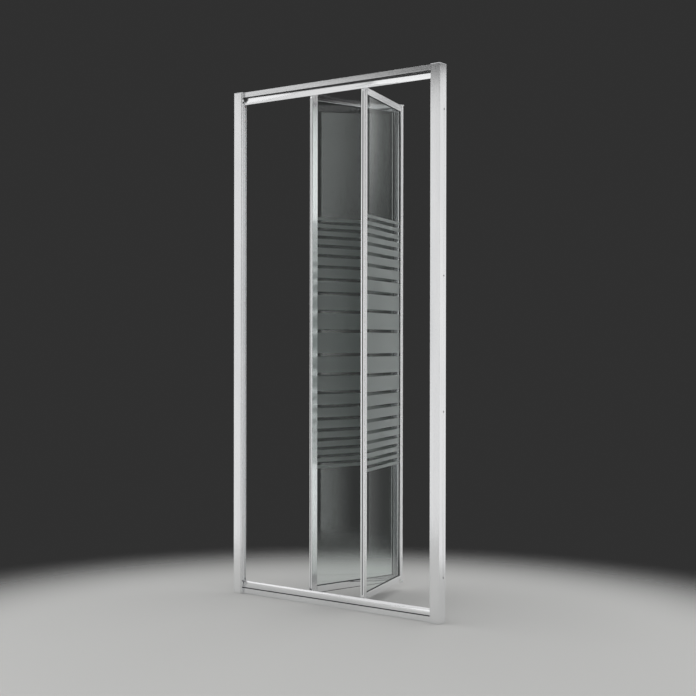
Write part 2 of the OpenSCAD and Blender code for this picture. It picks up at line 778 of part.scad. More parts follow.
at_leaf_a() end_stile();  // leaf_a_end_stile
at_leaf_a() fold_stile();  // leaf_a_fold_stile
at_leaf_a() leaf_top_rail();  // leaf_a_top_rail
at_leaf_a() leaf_bottom_rail();  // leaf_a_bottom_rail
at_leaf_a() glass();  // leaf_a_glass
at_leaf_a() gasket();  // leaf_a_gasket
at_leaf_a() end_seal();  // leaf_a_end_seal
at_leaf_a() sweep();  // leaf_a_sweep
at_leaf_a() both_ends() bush();  // leaf_a_bushes
at_leaf_a() both_ends() fold_cap();  // leaf_a_fold_caps
at_leaf_a() corner_keys();  // leaf_a_corner_keys
at_leaf_a() corner_screws();  // leaf_a_corner_screws
at_leaf_a() fold_hinge(1);  // fold_hinge_a
at_leaf_a() fold_seal();
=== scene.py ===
import math
import bmesh
import bpy
from mathutils import Matrix, Vector


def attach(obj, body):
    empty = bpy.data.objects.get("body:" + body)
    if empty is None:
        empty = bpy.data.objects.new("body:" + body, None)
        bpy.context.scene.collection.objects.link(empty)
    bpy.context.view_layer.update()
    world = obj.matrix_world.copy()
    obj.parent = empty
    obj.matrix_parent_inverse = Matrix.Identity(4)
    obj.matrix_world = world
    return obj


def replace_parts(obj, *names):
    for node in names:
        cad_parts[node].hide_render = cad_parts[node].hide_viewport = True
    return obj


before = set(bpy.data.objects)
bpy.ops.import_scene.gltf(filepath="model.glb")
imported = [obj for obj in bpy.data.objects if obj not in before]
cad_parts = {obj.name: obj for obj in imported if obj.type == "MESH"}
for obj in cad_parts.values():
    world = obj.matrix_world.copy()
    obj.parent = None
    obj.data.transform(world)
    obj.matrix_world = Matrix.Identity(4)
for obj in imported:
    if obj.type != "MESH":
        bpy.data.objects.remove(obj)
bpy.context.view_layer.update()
scene = bpy.context.scene
scene.view_settings.view_transform = "Standard"
mm = 0.001
print("frame loaded:", len(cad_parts), "nodes")


# ---- camera, where the photograph was taken from ----
cameraView = {
    "place": (2.7017, -3.5763, 0.9321),
    "turn": 36.489,      # degrees to the left of straight ahead
    "tilt": -0.2966,     # degrees up
    "roll": 0.0926,
    "focalPixels": 1275.3,
    "imageWidth": 696,
    "sensorWidth": 36,   # millimetres, as Blender counts it
    "clipEnd": 60,
}


def setCamera(view):
    data = bpy.data.cameras.new("camera")
    data.sensor_fit = "HORIZONTAL"
    data.sensor_width = view["sensorWidth"]
    data.lens = view["focalPixels"] * data.sensor_width / view["imageWidth"]
    data.clip_end = view["clipEnd"]
    camera = bpy.data.objects.new("camera", data)
    scene.collection.objects.link(camera)
    facing = Matrix.Rotation(math.radians(view["turn"]), 4, "Z") @ Matrix.Rotation(
        math.radians(90 + view["tilt"]), 4, "X")
    rolled = facing @ Matrix.Rotation(math.radians(view["roll"]), 4, "Z")
    camera.matrix_world = Matrix.Translation(Vector(view["place"])) @ rolled
    scene.camera = camera


setCamera(cameraView)


# ---- materials ----
def newMaterial(name):
    material = bpy.data.materials.new(name)
    material.use_nodes = True
    tree = material.node_tree
    tree.nodes.clear()
    output = tree.nodes.new("ShaderNodeOutputMaterial")
    shader = tree.nodes.new("ShaderNodeBsdfPrincipled")
    tree.links.new(shader.outputs["BSDF"], output.inputs["Surface"])
    return material, tree, shader


# most of a noise's values lie between low and high, so colours and levels are spread over these
noiseLook = {"low": 0.3, "high": 0.7, "roughness": 0.55}
evenly = (1, 1, 1)


def stretchedNoise(tree, turn, stretch, scale, detail=3.0):
    # noise in the object's own metres, drawn out along a piece that runs at this angle
    place = tree.nodes.new("ShaderNodeTexCoord")
    mapping = tree.nodes.new("ShaderNodeMapping")
    mapping.inputs["Rotation"].default_value = (0, 0, -math.radians(turn))
    squeeze = tree.nodes.new("ShaderNodeMapping")
    squeeze.inputs["Scale"].default_value = stretch
    noise = tree.nodes.new("ShaderNodeTexNoise")
    noise.inputs["Scale"].default_value = scale
    noise.inputs["Detail"].default_value = detail
    noise.inputs["Roughness"].default_value = noiseLook["roughness"]
    tree.links.new(place.outputs["Object"], mapping.inputs["Vector"])
    tree.links.new(mapping.outputs["Vector"], squeeze.inputs["Vector"])
    tree.links.new(squeeze.outputs["Vector"], noise.inputs["Vector"])
    return noise.outputs["Fac"]


def spread(tree, value, low, high):
    remap = tree.nodes.new("ShaderNodeMapRange")
    remap.inputs["From Min"].default_value = noiseLook["low"]
    remap.inputs["From Max"].default_value = noiseLook["high"]
    remap.inputs["To Min"].default_value = low
    remap.inputs["To Max"].default_value = high
    tree.links.new(value, remap.inputs["Value"])
    return remap.outputs["Result"]


def between(tree, value, first, second):
    blend = tree.nodes.new("ShaderNodeValToRGB")
    start, end = blend.color_ramp.elements
    start.position, end.position = noiseLook["low"], noiseLook["high"]
    start.color, end.color = (*first, 1), (*second, 1)
    tree.links.new(value, blend.inputs["Fac"])
    return blend.outputs["Color"]


def raised(tree, value, strength, distance):
    bump = tree.nodes.new("ShaderNodeBump")
    bump.inputs["Strength"].default_value = strength
    bump.inputs["Distance"].default_value = distance
    tree.links.new(value, bump.inputs["Height"])
    return bump.outputs["Normal"]


aluminiumLook = {
    "pale": (0.93, 0.935, 0.94),
    "dull": (0.85, 0.855, 0.865),
    "roughness": (0.10, 0.18),
    "stileRoughness": (0.17, 0.24),      # the leaves' stiles are more satin
    "polishedRoughness": (0.03, 0.06),   # leaf a's rails mirror the dark room more sharply
    "dieLines": 0.05,
    "lineHeight": 0.0002,                # metres
    "cloudShare": 0.02,                  # the clouds' noise repeats this share as often
    "cloudScale": 2,                     # and this much more
    "cloudDetail": 2.0,
}
alongX = (1.2, 700, 700)                 # how often the noise repeats along each axis
alongZ = (700, 700, 1.2)


def extrudedAluminium(name, turn, stretch, finish="roughness"):
    look = aluminiumLook
    material, tree, shader = newMaterial(name)
    lines = stretchedNoise(tree, turn, stretch, 1.0)
    broad = tuple(look["cloudShare"] * s + look["cloudScale"] for s in stretch)
    clouds = stretchedNoise(tree, turn, broad, 1.0, look["cloudDetail"])
    shader.inputs["Metallic"].default_value = 1
    tree.links.new(between(tree, clouds, look["dull"], look["pale"]), shader.inputs["Base Color"])
    tree.links.new(spread(tree, lines, *look[finish]), shader.inputs["Roughness"])
    tree.links.new(
        raised(tree, lines, look["dieLines"], look["lineHeight"]), shader.inputs["Normal"])
    return material


steelLook = {
    "pale": (0.62, 0.63, 0.65),
    "dull": (0.48, 0.49, 0.51),
    "roughness": (0.24, 0.4),
    "grain": 900,
    "detail": 4.0,
    "depth": 0.1,
    "height": 0.0001,
}


def turnedSteel():
    look = steelLook
    material, tree, shader = newMaterial("steel")
    grain = stretchedNoise(tree, 0, evenly, look["grain"], look["detail"])
    shader.inputs["Metallic"].default_value = 1
    tree.links.new(between(tree, grain, look["dull"], look["pale"]), shader.inputs["Base Color"])
    tree.links.new(spread(tree, grain, *look["roughness"]), shader.inputs["Roughness"])
    tree.links.new(raised(tree, grain, look["depth"], look["height"]), shader.inputs["Normal"])
    return material


plasticLook = {
    # the grain's two colours, roughness, how often it repeats, its depth, light under the skin
    "white_nylon": ((0.80, 0.80, 0.78), (0.86, 0.86, 0.84), (0.35, 0.45), 700, 0.05, 0.1),
    "grey_plastic": ((0.55, 0.56, 0.57), (0.62, 0.63, 0.64), (0.35, 0.5), 900, 0.08, 0),
    "pale_seal": ((0.62, 0.64, 0.64), (0.70, 0.72, 0.72), (0.4, 0.55), 1200, 0.08, 0.1),
    "white_seal": ((0.80, 0.81, 0.81), (0.86, 0.87, 0.87), (0.3, 0.45), 1200, 0.08, 0),
    "dark_rubber": ((0.018, 0.019, 0.020), (0.035, 0.036, 0.038), (0.5, 0.65), 1500, 0.1, 0),
}
plasticSkin = {"height": 0.0002, "softDepth": 0.002}     # metres


def mouldedPlastic(name):
    first, second, roughness, grainSize, depth, soft = plasticLook[name]
    material, tree, shader = newMaterial(name)
    grain = stretchedNoise(tree, 0, evenly, grainSize)
    tree.links.new(between(tree, grain, first, second), shader.inputs["Base Color"])
    tree.links.new(spread(tree, grain, *roughness), shader.inputs["Roughness"])
    tree.links.new(raised(tree, grain, depth, plasticSkin["height"]), shader.inputs["Normal"])
    if soft:
        shader.inputs["Subsurface Weight"].default_value = soft
        shader.inputs["Subsurface Scale"].default_value = plasticSkin["softDepth"]
    return material


glassLook = {
    "tint": (0.90, 0.945, 0.93),
    "roughness": (0.0, 0.015),
    "ior": 1.5,
    "waves": 3.0,
    "waveDetail": 1.0,
}


def clearGlass():
    material, tree, shader = newMaterial("glass")
    shader.inputs["Base Color"].default_value = (*glassLook["tint"], 1)
    shader.inputs["Transmission Weight"].default_value = 1
    shader.inputs["IOR"].default_value = glassLook["ior"]
    wave = stretchedNoise(tree, 0, evenly, glassLook["waves"], glassLook["waveDetail"])
    tree.links.new(spread(tree, wave, *glassLook["roughness"]), shader.inputs["Roughness"])
    return material


frostLook = {
    "colour": (0.74, 0.78, 0.77),
    "shade": (0.66, 0.70, 0.69),
    "transmission": 0.80,      # the rest is spread back as white haze
    "roughness": (0.55, 0.65),
    "ior": 1.15,
    "grain": 1500,
}


def frostedPrint():
    look = frostLook
    material, tree, shader = newMaterial("frosted_print")
    grain = stretchedNoise(tree, 0, evenly, look["grain"])
    tree.links.new(between(tree, grain, look["shade"], look["colour"]), shader.inputs["Base Color"])
    tree.links.new(spread(tree, grain, *look["roughness"]), shader.inputs["Roughness"])
    shader.inputs["Transmission Weight"].default_value = look["transmission"]
    shader.inputs["IOR"].default_value = look["ior"]
    return material


postMetal = extrudedAluminium("post_aluminium", 0, alongZ)
railMetal = extrudedAluminium("rail_aluminium", 0, alongX)
stileMetal = extrudedAluminium("stile_aluminium", 0, alongZ, "stileRoughness")
leafRailMetal = {     # turned as each leaf stands at rest
    "a": extrudedAluminium("leaf_a_rail_aluminium", 75, alongX, "polishedRoughness"),
    "b": extrudedAluminium("leaf_b_rail_aluminium", 105, alongX),
}
steel = turnedSteel()
nylon = mouldedPlastic("white_nylon")
greyPlastic = mouldedPlastic("grey_plastic")
paleSeal = mouldedPlastic("pale_seal")
whiteSeal = mouldedPlastic("white_seal")
darkRubber = mouldedPlastic("dark_rubber")
glass = clearGlass()
frosted = frostedPrint()
print("materials made")


# ---- finishes of the nodes ----
nodeFinish = {}
for side in "ab":
    for piece in ("end_stile", "fold_stile"):
        nodeFinish[f"leaf_{side}_{piece}"] = stileMetal
    for piece in ("top_rail", "bottom_rail"):
        nodeFinish[f"leaf_{side}_{piece}"] = leafRailMetal[side]
    nodeFinish[f"fold_hinge_{side}"] = postMetal
    nodeFinish[f"leaf_{side}_glass"] = glass
    nodeFinish[f"leaf_{side}_gasket"] = darkRubber
    nodeFinish[f"leaf_{side}_end_seal"] = whiteSeal
    nodeFinish[f"leaf_{side}_sweep"] = darkRubber
    nodeFinish[f"leaf_{side}_bushes"] = nylon
    nodeFinish[f"leaf_{side}_fold_caps"] = nylon
    nodeFinish[f"carriage_{side}_block"] = nylon
    nodeFinish[f"shoe_{side}"] = nylon
    for end in ("inner", "outer"):
        nodeFinish[f"wheels_{side}_{end}"] = nylon
        nodeFinish[f"axle_{side}_{end}"] = steel
    for piece in ("corner_keys", "corner_screws"):
        nodeFinish[f"leaf_{side}_{piece}"] = steel
    for piece in ("pin", "clip"):
        nodeFinish[f"carriage_{side}_{piece}"] = steel
    nodeFinish[f"shoe_{side}_pin"] = steel
for side in ("left", "right"):
    nodeFinish[f"wall_profile_{side}"] = postMetal
    nodeFinish[f"post_{side}"] = postMetal
    nodeFinish[f"jamb_seal_{side}"] = paleSeal
nodeFinish.update({
    "top_rail": railMetal, "bottom_rail": railMetal, "post_caps": greyPlastic,
    # the rails' groove strips are dark: painted shade of the real grooves
    "rail_inlays": darkRubber, "rail_screws": steel, "clamp_screws": steel, "fold_pin": steel,
    "fold_covers": greyPlastic, "fold_cover_screws": steel, "fold_seal": paleSeal,
})

edgeRound = {            # millimetres, by the start of a node's name
    "wall_profile": 0.35, "post": 0.35, "top_rail": 0.3, "bottom_rail": 0.3, "post_caps": 0.6,
    "leaf_a_end_stile": 0.15, "leaf_b_end_stile": 0.15, "leaf_a_fold_stile": 0.15,
    "leaf_b_fold_stile": 0.15, "fold_hinge": 0.25, "fold_pin": 0.4, "fold_covers": 0.5,
    "carriage_a": 0.2, "carriage_b": 0.2, "shoe": 0.3, "wheels": 0.3, "axle": 0.2,
    "leaf_a_bushes": 0.3, "leaf_b_bushes": 0.3, "leaf_a_fold_caps": 0.3, "leaf_b_fold_caps": 0.3,
    "leaf_a_corner_keys": 0.4, "leaf_b_corner_keys": 0.4,
}


edgeLook = {"weld": 0.001 * mm, "segments": 2, "sharpFrom": 40}     # metres, count and degrees


def softenEdges(node, width):
    # a small round on the sharp edges, so that they catch the light
    weld = node.modifiers.new("weld", "WELD")
    weld.merge_threshold = edgeLook["weld"]
    bevel = node.modifiers.new("edge", "BEVEL")
    bevel.width = width
    bevel.segments = edgeLook["segments"]
    bevel.limit_method = "ANGLE"
    bevel.angle_limit = math.radians(edgeLook["sharpFrom"])
    bevel.use_clamp_overlap = True
    bevel.harden_normals = True


for name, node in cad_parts.items():
    finish = nodeFinish[name]
    if not node.material_slots:
        node.data.materials.append(finish)
    for slot in node.material_slots:
        slot.material = finish
    widths = [width for start, width in edgeRound.items() if name.startswith(start)]
    if widths:
        softenEdges(node, widths[0] * mm)
print("finishes set on", len(nodeFinish), "nodes")


# ---- leaves: places along a leaf, in millimetres from its end pivot ----
leafPlace = {
    "a": {"pivot": -97.668, "turn": 75, "flip": -1, "body": "leaf_a"},
    "b": {"pivot": 124.0, "turn": 105, "flip": 1, "body": "leaf_b"},
}


def leafMatrix(side):
    place = leafPlace[side]
    flip = Matrix.Diagonal((1, place["flip"], 1, 1))
    return (Matrix.Translation((place["pivot"] * mm, 0, 0))
            @ Matrix.Rotation(math.radians(place["turn"]), 4, "Z") @ flip)


def addPiece(name, mesh, body, material, matrix=None):
    piece = bpy.data.objects.new(name, mesh)
    scene.collection.objects.link(piece)
    if matrix is not None:
        mesh.transform(matrix)
        if matrix.determinant() < 0:
            mesh.flip_normals()
    mesh.materials.append(material)
    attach(piece, body)
    return piece


boxFaces = ((0, 1, 3, 2), (4, 6, 7, 5), (0, 4, 5, 1), (2, 3, 7, 6), (0, 2, 6, 4), (1, 5, 7, 3))


def addBox(work, low, high):
    corners = [work.verts.new((x, y, z)) for x in (low[0], high[0])
               for y in (low[1], high[1]) for z in (low[2], high[2])]
    for face in boxFaces:
        work.faces.new([corners[i] for i in face])


def toMesh(work, name):
    mesh = bpy.data.meshes.new(name)
    work.to_mesh(mesh)
    work.free()
    return mesh


# ---- frosted bands of each pane ----
frostBands = {
    "middle": 926.5,           # height of the pattern's middle
    "steps": (25, 28.5, 31.5, 34.5, 40, 45, 49.5, 65, 70, 85),  # from the outermost gap inwards
    "gap": 12,
    "outerBand": 11,
    "from": 15.6,              # edges of the clear opening, from the pivot
    "to": 366.0,
    "face": 2.5,               # the glass faces, from the leaf's middle plane
    "thickness": 0.15,         # a film on each face, so that the bands are lit from either side
}


def bandLimits(bands):
    reach = sum(bands["steps"]) - bands["steps"][-1] / 2
    gaps, z = [], bands["middle"] + reach
    for step in bands["steps"] + tuple(reversed(bands["steps"][:-1])):
        gaps.append(z)
        z -= step
    gaps.append(z)
    halfGap = bands["gap"] / 2
    edges = [bands["middle"] + reach + halfGap + bands["outerBand"]]
    for centre in gaps:
        edges += [centre + halfGap, centre - halfGap]
    edges.append(bands["middle"] - reach - halfGap - bands["outerBand"])
    return [(edges[i + 1], edges[i]) for i in range(0, len(edges), 2)]


def makeFrost(side, bands):
    work = bmesh.new()
    near, far = bands["face"] * mm, (bands["face"] + bands["thickness"]) * mm
    for low, high in bandLimits(bands):
        for y0, y1 in ((near, far), (-far, -near)):
            addBox(work, (bands["from"] * mm, y0, low * mm), (bands["to"] * mm, y1, high * mm))
    bmesh.ops.recalc_face_normals(work, faces=work.faces)
    mesh = toMesh(work, f"leaf_{side}_frosted_bands")
    addPiece(mesh.name, mesh, leafPlace[side]["body"], frosted, leafMatrix(side))


for side in "ab":
    makeFrost(side, frostBands)
print("frosted bands made")


# ---- seals: drawn as sections, in millimetres, and run along their piece ----
def roundedOutline(points, radius, steps=4, share=2.2):
    # the same outline with every corner rounded, over less than half of either side
    outline = []
    for i, corner in enumerate(points):
        here = Vector(corner)
        before, after = Vector(points[i - 1]) - here, Vector(points[(i + 1) % len(points)]) - here
        cut = min(radius, before.length / share, after.length / share)
        start, end = here + before.normalized() * cut, here + after.normalized() * cut
        for k in range(steps + 1):
            t = k / steps
            outline.append(start * (1 - t) ** 2 + here * 2 * t * (1 - t) + end * t * t)
    return outline


def stripMesh(name, outline, low, high, axis):
    # axis "z": the outline is (x, y); axis "x": the outline is (y, z)
    work = bmesh.new()
    rings = []
    for along in (low, high):
        if axis == "z":
            rings.append([work.verts.new((p.x * mm, p.y * mm, along * mm)) for p in outline])
        else:
            rings.append([work.verts.new((along * mm, p.x * mm, p.y * mm)) for p in outline])
    first, last = rings
    for i in range(len(outline)):
        after = (i + 1) % len(outline)
        work.faces.new((first[i], first[after], last[after], last[i])).smooth = True
    for ring in rings:
        work.faces.new(ring)
    bmesh.ops.recalc_face_normals(work, faces=work.faces)
    sharpen(work)
    return toMesh(work, name)


def sharpen(work, degrees=50):
    for edge in work.edges:
        if len(edge.link_faces) == 2 and edge.calc_face_angle(0) > math.radians(degrees):
            edge.smooth = False


endSealStrip = {            # the pale body, with a channel for the dark middle line
    "section": ((-10, -5), (-10.8, -5), (-11.4, -4.4), (-11.7, -3.4), (-11.6, -2.2), (-11.0, -1.9),
                (-11.0, 1.9), (-11.6, 2.2), (-11.7, 3.4), (-11.4, 4.4), (-10.8, 5), (-10, 5)),
    "round": 0.4, "low": 55.3, "high": 1795.6,
}
# a dark line down the middle of the pale end strip
darkMiddleLine = {
    "section": ((-10.9, -1.8), (-11.2, -1.7), (-11.45, -0.9), (-11.35, 0), (-11.45, 0.9),
                (-11.2, 1.7), (-10.9, 1.8)),
    "round": 0.3, "low": 55.6, "high": 1795.3,
}
sweepStrip = {
    "section": ((-1.5, 37), (-1.5, 36), (-0.9, 35.6), (-1.45, 34), (-1.1, 33.85), (0, 35.2),
                (1.1, 33.85), (1.45, 34), (0.9, 35.6), (1.5, 36), (1.5, 37)),
    "round": 0.25, "low": 16, "high": 365.6,
}
foldSealStrip = {
    "section": ((393.6, -7.5), (396.4, -7.5), (396.9, -6.9), (399.1, -6.9), (399.6, -7.5),
                (402.1, -7.5), (402.1, -5.3), (399.6, -5.3), (399.1, -5.9), (396.9, -5.9),
                (396.4, -5.3), (393.6, -5.3)),
    "round": 0.5, "low": 51, "high": 1797,
}
jambSealStrip = {
    "section": ((407, -15.8), (414, -15.8), (414, -13.4), (412.6, -13.4), (412.2, -14.4),
                (409.6, -14.2), (408.2, -13.5), (407.3, -13.8), (407, -14.4)),
    "round": 0.5, "low": 47.6, "high": 1803.3,
}
# dark strips laid in both grooves of the rails: painted shade, standing in for the shade deep in
# the real grooves
inlayStrip = {
    # y, and z from the groove's lower edge
    "section": ((-9.6, 0), (-12.9, 0), (-13.3, 0.5), (-12.6, 1.2), (-12.4, 1.8), (-12.6, 2.4),
                (-13.3, 3.1), (-12.9, 3.6), (-9.6, 3.6)),
    "round": 0.3, "grooves": (19.4, 1828.2), "reach": 444.4,
}
gasketStrip = {
    "window": (14, 60.4, 367.6, 1787.6),       # local x and z of the profiles' glazed edges
    "section": ((-6.5, 2.5), (-6.5, 4.35), (-0.3, 4.35), (0.2, 4.2), (0.8, 4.0), (1.4, 3.1),
                (1.3, 2.5)),
    "round": 0.45,
}


def makeGasket(side, strip):
    # a wedge gasket mitred round the pane, once on each face of the glass
    x0, z0, x1, z1 = strip["window"]
    work = bmesh.new()
    for face in (-1, 1):
        rings = []
        for p in roundedOutline(strip["section"], strip["round"]):
            left, right, foot, top = x0 + p.x, x1 - p.x, z0 + p.x, z1 - p.x
            corners = ((left, foot), (right, foot), (right, top), (left, top))
            rings.append([work.verts.new((x * mm, face * p.y * mm, z * mm)) for x, z in corners])
        for i, ring in enumerate(rings):
            after = rings[(i + 1) % len(rings)]
            for k in range(4):
                turn = (k + 1) % 4
                work.faces.new((ring[k], ring[turn], after[turn], after[k])).smooth = True
    bmesh.ops.recalc_face_normals(work, faces=work.faces)
    sharpen(work)
    mesh = toMesh(work, f"leaf_{side}_wedge_gasket")
    body = leafPlace[side]["body"]
    piece = addPiece(mesh.name, mesh, body, darkRubber, leafMatrix(side))
    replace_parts(piece, f"leaf_{side}_gasket")


def makeGrooveShadeStrips(strip):
    # painted shade: dark rubber strips along both rail grooves, where the grooves' own shade falls
    work = bmesh.new()
    for z in strip["grooves"]:
        outline = roundedOutline([(y, z + up) for y, up in strip["section"]], strip["round"])
        part = stripMesh("inlay", outline, -strip["reach"], strip["reach"], "x")
        work.from_mesh(part)
        bpy.data.meshes.remove(part)
    mesh = toMesh(work, "rail_inlay_strips")
    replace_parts(addPiece(mesh.name, mesh, "frame", darkRubber), "rail_inlays")


def makeStrip(name, strip, axis, body, material, matrix, node):
    outline = roundedOutline(strip["section"], strip["round"])
    mesh = stripMesh(name, outline, strip["low"], strip["high"], axis)
    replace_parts(addPiece(name, mesh, body, material, matrix), node)


for side in "ab":
    body, place = leafPlace[side]["body"], leafMatrix(side)
    makeGasket(side, gasketStrip)
    makeStrip(f"leaf_{side}_magnetic_strip", endSealStrip, "z", body, whiteSeal, place,
              f"leaf_{side}_end_seal")
    makeStrip(f"leaf_{side}_dark_middle_line", darkMiddleLine, "z", body, darkRubber, place,
              f"leaf_{side}_end_seal")
    makeStrip(f"leaf_{side}_bottom_fins", sweepStrip, "x", body, darkRubber, place,
              f"leaf_{side}_sweep")
makeStrip("fold_seal_strip", foldSealStrip, "z", "leaf_a", paleSeal, leafMatrix("a"),
          "fold_seal")
for side, flip in (("left", -1), ("right", 1)):
    makeStrip(f"jamb_seal_lip_{side}", jambSealStrip, "z", "frame", paleSeal,
              Matrix.Diagonal((flip, 1, 1, 1)), f"jamb_seal_{side}")
makeGrooveShadeStrips(inlayStrip)
print("seals made")


# ---- screws: a domed head with a cross recess, and a threaded shank ----
screwLook = {
    "recess": 0.52, "slot": 0.2, "depth": 0.6,     # the cross, as shares of the head
    "pitch": 0.9,                                  # millimetres
    "thread": 0.12,                                # depth, as a share of the shank
    "tip": 0.55, "tipShoulder": 0.9, "tipLength": 0.5,
    "rim": 0.35, "domeSteps": 6, "crown": 0.05,    # the straight rim, and the flat on the dome
    "segments": 32,
}
screwReading = {
    "headFrom": 0.9,                # points beyond this share of the greatest radius are the head's
    "clear": 1e-6, "below": 1e-5,   # metres off the head that count as the shank's
    "spin": 0.7,                    # radians a vertex, so that no two heads stand alike
}


def latheRings(work, outline, segments):
    # outline: (radius, height) from the tip to the crown; the axis is Z
    rings = []
    for radius, height in outline:
        rings.append([work.verts.new((radius * math.cos(a), radius * math.sin(a), height))
                      for a in (2 * math.pi * k / segments for k in range(segments))])
    for low, high in zip(rings, rings[1:]):
        for k in range(segments):
            after = (k + 1) % segments
            work.faces.new((low[k], low[after], high[after], high[k])).smooth = True
    work.faces.new(list(reversed(rings[0])))
    work.faces.new(rings[-1])


def screwMesh(headRadius, headHeight, shankRadius, shankLength, look):
    # metres, with the head's underside at z 0 and the head towards +z
    work = bmesh.new()
    z, deep = -shankLength + shankRadius * look["tipLength"], False
    outline = [(shankRadius * look["tip"], -shankLength), (shankRadius * look["tipShoulder"], z)]
    while z < -look["pitch"] * mm:
        z += look["pitch"] * mm / 2
        deep = not deep
        outline.append((shankRadius * (1 - look["thread"] * deep), z))
    rim, steps = look["rim"], look["domeSteps"]
    outline += [(shankRadius, 0), (headRadius, 0.0), (headRadius, headHeight * rim)]
    for step in range(1, steps):
        a = math.radians(90 * step / steps)
        outline.append((headRadius * math.cos(a), headHeight * (rim + (1 - rim) * math.sin(a))))
    outline.append((headRadius * look["crown"], headHeight))
    latheRings(work, outline, look["segments"])
    sharpen(work)
    mesh = toMesh(work, "screw")
    cutter = bmesh.new()
    reach, half = headRadius * look["recess"], headRadius * look["slot"] / 2
    floorZ = headHeight * (1 - look["depth"])
    addBox(cutter, (-reach, -half, floorZ), (reach, half, headHeight * 2))
    addBox(cutter, (-half, -reach, floorZ), (half, reach, headHeight * 2))
    bmesh.ops.recalc_face_normals(cutter, faces=cutter.faces)
    head = bpy.data.objects.new("screw", mesh)
    cross = bpy.data.objects.new("cross", toMesh(cutter, "cross"))
    for part in (head, cross):
        scene.collection.objects.link(part)
    boolean = head.modifiers.new("recess", "BOOLEAN")
    boolean.operation = "DIFFERENCE"
    boolean.solver = "EXACT"
    boolean.use_self = True
    boolean.object = cross
    bpy.context.view_layer.update()
    cut = bpy.data.meshes.new_from_object(head.evaluated_get(bpy.context.evaluated_depsgraph_get()))
    for part in (head, cross):
        bpy.data.objects.remove(part)
    return cut


def looseParts(mesh, matrix):
    # the separate solids of a mesh, each as its welded vertices after matrix
    work = bmesh.new()
    work.from_mesh(mesh)
    bmesh.ops.remove_doubles(work, verts=work.verts, dist=edgeLook["weld"])
    work.verts.index_update()
    seen, parts = set(), []
    for vert in work.verts:
        if vert.index in seen:
            continue
        stack, part = [vert], []
        seen.add(vert.index)
        while stack:
            v = stack.pop()
            part.append(matrix @ v.co)
            for edge in v.link_edges:
                other = edge.other_vert(v)
                if other.index not in seen:
                    seen.add(other.index)
                    stack.append(other)
        parts.append(part)
    work.free()
    return parts


def fromAxis(point, centre, axis):
    return math.hypot(*(point[i] - centre[i] for i in range(3) if i != axis))


def makeScrews(node, body, axis, matrix):
    # each screw takes its place, size and direction from its own solid in the node
    read = screwReading
    whole, screw = bmesh.new(), None
    for part in looseParts(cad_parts[node].data, matrix.inverted()):
        low = [min(p[i] for p in part) for i in range(3)]
        high = [max(p[i] for p in part) for i in range(3)]
        centre = [(low[i] + high[i]) / 2 for i in range(3)]
        headRadius = max(round(fromAxis(p, centre, axis) / mm, 2) for p in part) * mm
        heads = [p[axis] for p in part if fromAxis(p, centre, axis) > headRadius * read["headFrom"]]
        headLow, headHigh = min(heads), max(heads)
        shank = [p[axis] for p in part
                 if p[axis] < headLow - read["clear"] or p[axis] > headHigh + read["clear"]]
        way = 1 if sum(shank) / len(shank) < sum(heads) / len(heads) else -1
        under = headLow if way > 0 else headHigh
        if screw is None:
            thin = max(fromAxis(p, centre, axis)
                       for p in part if (p[axis] - under) * way < -read["below"])
            headHeight = headHigh - headLow
            shankLength = high[axis] - low[axis] - headHeight
            screw = screwMesh(headRadius, headHeight, thin, shankLength, screwLook)
        place = list(centre)
        place[axis] = under
        direction = Vector([way if i == axis else 0 for i in range(3)])
        turn = direction.to_track_quat("Z", "X").to_matrix().to_4x4()
        spin = Matrix.Rotation(read["spin"] * len(whole.verts), 4, "Z")
        copy = screw.copy()
        copy.transform(matrix @ Matrix.Translation(place) @ turn @ spin)
        if matrix.determinant() < 0:
            copy.flip_normals()
        whole.from_mesh(copy)
    mesh = toMesh(whole, f"{node}_crosshead")
    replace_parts(addPiece(mesh.name, mesh, body, steel), node)


makeScrews("rail_screws", "frame", 0, Matrix.Identity(4))
makeScrews("clamp_screws", "frame", 1, Matrix.Identity(4))
makeScrews("leaf_a_corner_screws", "leaf_a", 1, leafMatrix("a"))
makeScrews("leaf_b_corner_screws", "leaf_b", 1, leafMatrix("b"))
makeScrews("fold_cover_screws", "leaf_b", 2, leafMatrix("b"))
print("screws made")


# ---- floor, lamps and world ----
studio = {
    "floor": (0.57, 0.57, 0.56),
    "floorMiddle": (0.35, -0.45),
    "floorRadius": 4,
    "floorSides": 128,
    "floorDrop": 0.0005,         # below the door's foot, so that the two faces don't coincide
    "floorFade": (1.05, 2.0),    # it fades into the backdrop between these distances
    "floorRoughness": 0.6,
    "backdrop": 0.03,            # what the camera and mirrors see
    "ambient": 0.55,             # what lights the dull surfaces
}


def makeFloor(look):
    bpy.ops.mesh.primitive_circle_add(
        vertices=look["floorSides"], radius=look["floorRadius"], fill_type="NGON",
        location=(*look["floorMiddle"], -look["floorDrop"]))
    floor = bpy.context.object
    floor.name = "floor"
    material, tree, shader = newMaterial("floor")
    place = tree.nodes.new("ShaderNodeTexCoord")
    length = tree.nodes.new("ShaderNodeVectorMath")
    length.operation = "LENGTH"
    tree.links.new(place.outputs["Object"], length.inputs[0])
    fade = tree.nodes.new("ShaderNodeMapRange")
    fade.interpolation_type = "SMOOTHERSTEP"
    fade.inputs["From Min"].default_value, fade.inputs["From Max"].default_value = look["floorFade"]
    tree.links.new(length.outputs["Value"], fade.inputs["Value"])
    shader.inputs["Base Color"].default_value = (*look["floor"], 1)
    shader.inputs["Roughness"].default_value = look["floorRoughness"]
    clear = tree.nodes.new("ShaderNodeBsdfTransparent")
    mix = tree.nodes.new("ShaderNodeMixShader")
    tree.links.new(fade.outputs["Result"], mix.inputs["Fac"])
    tree.links.new(shader.outputs["BSDF"], mix.inputs[1])
    tree.links.new(clear.outputs["BSDF"], mix.inputs[2])
    output = next(n for n in tree.nodes if n.type == "OUTPUT_MATERIAL")
    tree.links.new(mix.outputs["Shader"], output.inputs["Surface"])
    floor.data.materials.append(material)


